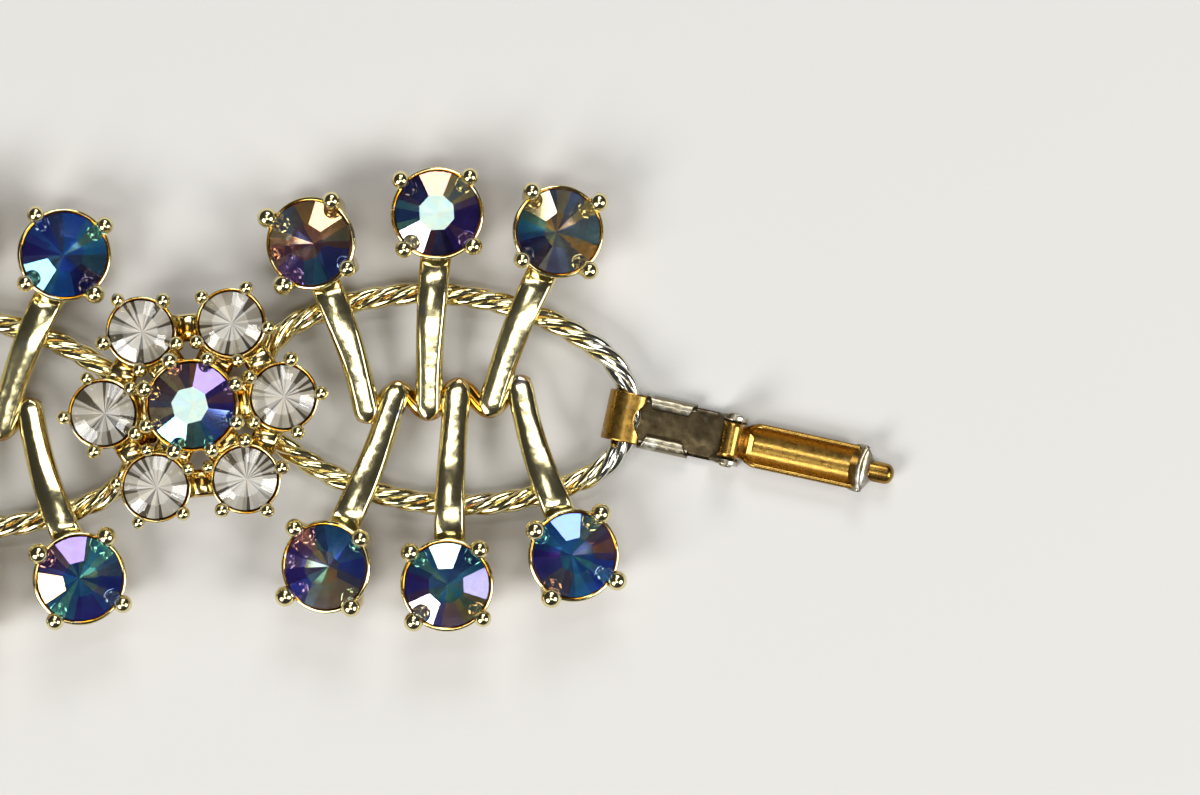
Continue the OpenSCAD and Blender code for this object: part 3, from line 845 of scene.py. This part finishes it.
# %% Clasp base: the strap's loop, the plate with its rolled tabs, the lugs
SHEET = 0.35
strap = Shape()
R_LOOP = 1.25 + SHEET / 2
line = [(0.7, WIRE_Z - R_LOOP)] + [(-R_LOOP * math.sin(a), WIRE_Z - R_LOOP * math.cos(a))
                                    for a in np.linspace(0, math.pi, 33)]
line += [(0.35, WIRE_Z + R_LOOP - 0.02), (0.7, WIRE_Z + R_LOOP - 0.1), (0.98, WIRE_Z + R_LOOP - 0.28)]
whole = along_line(line, 400)
columns = np.linspace(-1.8, 1.8, 25)
grid = []
for i in range(61):
    row = []
    for v in columns:
        bite = 0.85 * max(0.0, 1 - (v / 1.15) ** 2)
        end = 399 * (1 - bite / 9.3)
        u, z = whole[round(end * i / 60)]
        row.append((u, -v, z))
    grid.append(row)
strap.add(*strip(grid, SHEET), tone=0.2, move=CLASP_MOVE)
strap.piece("clasp_strap_loop", "clasp", [CLASP_GOLD], ["clasp_base"], "clasp_gold")

plate = Shape()
plate_z = WIRE_Z - R_LOOP
grid = [[(u, v * (1.0 if u > 0.6 else 0.98), plate_z + 0.03 * math.cos(v))
         for v in np.linspace(-1.78, 1.78, 13)]
        for u in np.linspace(0.5, PIVOT_U + 0.85, 25)]
plate.add(*strip(grid, SHEET), tone=0.3, move=CLASP_MOVE)
plate.piece("clasp_plate", "clasp", [DARK_OLIVE_PLATE], (), "worn_plate")

fittings = Shape()
for side in (-1, 1):
    grid = []
    for i in range(41):
        u = 1.1 + 3.75 * i / 40
        ease = smooth_step(min(i, 40 - i) / 7)
        last = math.radians(10 + 135 * ease)
        angles = np.linspace(-math.pi / 2, last, 15)
        grid.append([(u, side * (1.42 + 0.43 * math.cos(a)), plate_z + 0.5 + 0.45 * math.sin(a))
                     for a in angles])
    if side > 0:
        grid = grid[::-1]
    fittings.add(*strip(grid, 0.3), tone=0.25, move=CLASP_MOVE)
    arc = [(PIVOT_U + 0.88 * math.cos(a), PIVOT_Z + 0.88 * math.sin(a)) for a in np.linspace(0, math.pi, 17)]
    outline = [(PIVOT_U - 1.2, 0.1), (PIVOT_U + 1.0, 0.1)] + arc + [(PIVOT_U - 1.0, 1.5)]
    low, high = sorted((side * 1.44, side * 1.8))
    fittings.add(*slab(outline, low, high), tone=0.1, smooth=False, move=CLASP_MOVE)
fittings.piece("clasp_tabs_and_lugs", "clasp", [BARE_METAL], (), "worn_plate")

pin = Shape()
pin_profile = [(0, -1.98), (0.3, -1.98), (0.45, -1.9), (0.5, -1.8), (0.34, -1.79), (0.34, 1.79), (0.5, 1.8),
               (0.45, 1.9), (0.3, 1.98), (0, 1.98)]
pin_move = CLASP_MOVE @ placed(PIVOT_U, 0, PIVOT_Z, 0, 0, math.pi / 2)
pin.add(*lathe(pin_profile, 24), tone=0.1, move=pin_move)
pin.piece("clasp_pivot_pin", "clasp", [BARE_METAL], ["clasp_pin"], "worn_plate")
print("clasp base done")

# %% Clasp cover: the neck round the pin, the channel, its end wall and the finger nub
COVER_START, COVER_END = PIVOT_U + 1.3, PIVOT_U + PIVOT_U + 2.2
cover = Shape()
neck = [(PIVOT_U + 0.56 * math.cos(a), PIVOT_Z + 0.56 * math.sin(a))
        for a in np.linspace(math.pi * 1.15, 0.15, 17)]
neck += [(PIVOT_U + 0.75, 1.7), (PIVOT_U + 0.95, 1.0), (PIVOT_U + 1.25, 0.5), (PIVOT_U + 1.75, 0.3)]
grid = [[(u, v, z) for v in np.linspace(1.28, -1.28, 9)] for u, z in along_line(neck, 33)]
cover.add(*strip(grid, SHEET), tone=0.0, move=CLASP_MOVE)
cover.piece("clasp_cover_neck", "cover", [CLASP_GOLD], (), "clasp_gold")

channel = Shape()
grid = []
for i in range(31):
    t = i / 30
    u = COVER_START + (COVER_END - 0.2 - COVER_START) * t
    lift = 0.75 + 0.25 * smooth_step(t * 12)
    angles = np.linspace(-1.3, 1.3, 25) * lift
    grid.append([(u, -1.53 * math.sin(a), 1.8 - 1.53 * math.cos(a)) for a in angles])
channel.add(*strip(grid, SHEET - 0.05), tone=0.1, move=CLASP_MOVE)
channel.piece("clasp_cover_channel", "cover", [CLASP_GOLD], ["clasp_cover"], "clasp_gold")

wall = Shape()
grid = []
for i in range(13):
    t = i / 12
    z = 0.35 + 1.75 * t
    row = []
    for v in np.linspace(1.68, -1.68, 19):
        bow = 0.35 * (v / 1.68) ** 2
        row.append((COVER_END - 0.75 + (0.45 + bow) * t, v * (0.8 + 0.2 * smooth_step(3 * t)), z))
    grid.append(row)
wall.add(*strip(grid, 0.34), tone=0.1, move=CLASP_MOVE)
grid = []
for i in range(13):
    t = i / 12
    half = 1.68 - 0.95 * smooth_step(1.15 * t)
    grid.append([(COVER_END - 0.15 + 1.1 * t, v * half, 1.75 - 0.75 * smooth_step(t) + 0.2 * v * v * (1 - t))
                 for v in np.linspace(-1, 1, 13)])
wall.add(*strip(grid, 0.3), tone=0.15, move=CLASP_MOVE)
wall.piece("clasp_cover_end_wall", "cover", [BARE_METAL], (), "worn_plate")

nub = Shape()
nub_line = [(COVER_END + 0.45 + 1.9 * t, 0, 0.98) for t in np.linspace(0, 1, 25)]


def nub_outline(t):
    round_off = math.sqrt(max(0.0, 1 - max(0.0, (t - 0.68) / 0.33) ** 2))
    return [(0.76 * round_off * math.cos(a), 0.68 * round_off * math.sin(a))
            for a in np.linspace(0, TAU, 24, False)]


nub.add(*sweep(nub_line, nub_outline), tone=0.35, move=CLASP_MOVE)
nub.piece("clasp_cover_nub", "cover", [CLASP_GOLD], (), "clasp_gold")
print("clasp cover done")

# %% [markdown]
# The catch loop at the other end is a plain wire bent into a long oval, so one circle swept round a
# closed line is all it needs.

# %% Catch loop
low, high = (np.array(c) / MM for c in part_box("catch_loop"))
wire_r = (high[2] - low[2]) / 2
bend = (high[1] - low[1]) / 2 - wire_r
mid_y, mid_z = (low[1] + high[1]) / 2, (low[2] + high[2]) / 2
right, left = high[0] - wire_r - bend, low[0] + wire_r + bend
turn = np.linspace(-math.pi / 2, math.pi / 2, 33)
path = [(right + bend * math.cos(a), mid_y + bend * math.sin(a), mid_z) for a in turn]
path += [(right + (left - right) * t, mid_y + bend, mid_z) for t in (0.25, 0.5, 0.75)]
path += [(left - bend * math.cos(a), mid_y - bend * math.sin(a), mid_z) for a in turn]
path += [(left + (right - left) * t, mid_y - bend, mid_z) for t in (0.25, 0.5, 0.75)]
loop = Shape().add(*sweep(path, lambda t: ring_outline(wire_r * 0.995, 24), closed=True), tone=0.1)
loop.piece("catch_wire_loop", "catch", [GOLD], ["catch_loop"], "gold_plate")
print("catch loop", len(loop.faces), "faces")

# %% [markdown]
# A plain pale table, two large softboxes at the sides, one behind, three weak ones above, and a dim room.
# Jewellery is lit from the sides, because each flat facet then either mirrors a softbox or stays dark.

# %% Table, lights and camera
TABLE, TABLE_Z = 3, -0.00002
table_mesh = bpy.data.meshes.new("table_top")
table_corners = [(x * TABLE, y * TABLE, TABLE_Z) for x, y in ((-1, -1), (1, -1), (1, 1), (-1, 1))]
table_mesh.from_pydata(table_corners, [], [(0, 1, 2, 3)])
table_top = bpy.data.objects.new("table_top", table_mesh)
bpy.context.scene.collection.objects.link(table_top)
paper, tree, surface = new_material("Matt_Pale_Paper")
surface.inputs["Base Color"].default_value = linear("#BDBBB7")
surface.inputs["Roughness"].default_value = 0.9
table_mesh.materials.append(paper)

LOOK_AT = ((LINK_X[5] + 11.29) * MM, -0.41 * MM, 4.5 * MM)


def softbox(name, place, width, height, power):
    light = bpy.data.lights.new(name, "AREA")
    light.shape = "RECTANGLE"
    light.size, light.size_y, light.energy = width, height, power
    lamp = bpy.data.objects.new(name, light)
    bpy.context.scene.collection.objects.link(lamp)
    lamp.location = place
    towards = Matrix.Translation(LOOK_AT).translation - lamp.location
    lamp.rotation_euler = towards.to_track_quat("-Z", "Y").to_euler()


def around(azimuth, polar, distance):
    """A place about LOOK_AT, at an azimuth from +X and an angle from straight up, in degrees."""
    a, p = math.radians(azimuth), math.radians(polar)
    return (LOOK_AT[0] + distance * math.cos(a) * math.sin(p), distance * math.sin(a) * math.sin(p),
            distance * math.cos(p))


softbox("left_softbox", around(218, 50, 0.6), 0.28, 0.28, 3.0)
softbox("right_softbox", around(338, 50, 0.6), 0.28, 0.28, 3.0)
softbox("back_softbox", around(80, 52, 0.65), 0.3, 0.2, 1.6)
softbox("near_top_softbox", around(265, 14, 0.7), 0.3, 0.1, 0.9)
softbox("far_top_softbox", around(95, 22, 0.7), 0.3, 0.08, 0.6)
softbox("overhead_softbox", (LOOK_AT[0] - 0.082, 0.025, 0.75), 0.14, 0.1, 0.16)
world = bpy.data.worlds.new("dim_room")
world.use_nodes = True
world.node_tree.nodes["Background"].inputs["Color"].default_value = (0.04, 0.04, 0.042, 1)
bpy.context.scene.world = world

lens = bpy.data.cameras.new("camera")
lens.lens, lens.sensor_width, lens.clip_start = 105, 36, 0.01
camera = bpy.data.objects.new("camera", lens)
bpy.context.scene.collection.objects.link(camera)
CAMERA_HEIGHT, CAMERA_ROLL = 0.25, math.radians(-2.7)
camera.location = (LOOK_AT[0], LOOK_AT[1], LOOK_AT[2] + CAMERA_HEIGHT)
camera.rotation_euler = (0, 0, CAMERA_ROLL)
bpy.context.scene.camera = camera
bpy.context.scene.view_settings.view_transform = "Standard"
